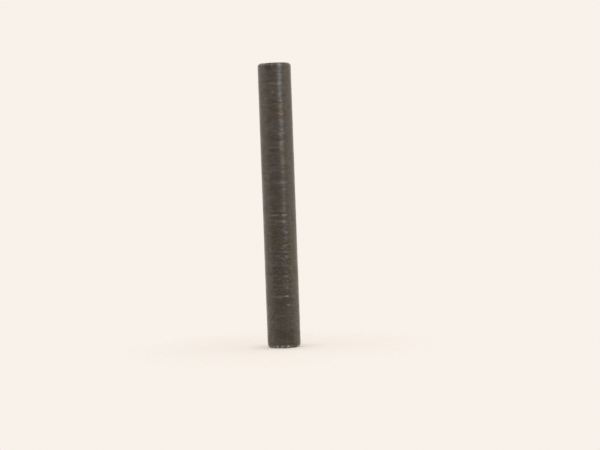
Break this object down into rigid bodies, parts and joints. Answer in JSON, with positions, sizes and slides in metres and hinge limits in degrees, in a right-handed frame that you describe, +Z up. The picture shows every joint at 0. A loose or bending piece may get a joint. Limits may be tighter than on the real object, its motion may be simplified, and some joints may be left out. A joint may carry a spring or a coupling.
{
  "type": "chute pin",
  "caption": "Plain straight round pin of blackened steel, cut square and chamfered at both ends, that joins and hinges a discharge chute.",
  "frame": {"origin": "centre of the lower end face, on which the pin stands", "axes": "+Z up along the pin's axis, from the lower end face to the upper one; the pin is round, so +X and +Y are any two directions across it"},
  "size_m": [0.004, 0.004, 0.0336],
  "materials": {
    "blackened_steel": "black oxide on bar stock with fine rings round the shank, satin, worn brighter at the chamfers"
  },
  "bodies": {
    "root": {"chute_pin": "blackened_steel"}
  },
  "joints": []
}
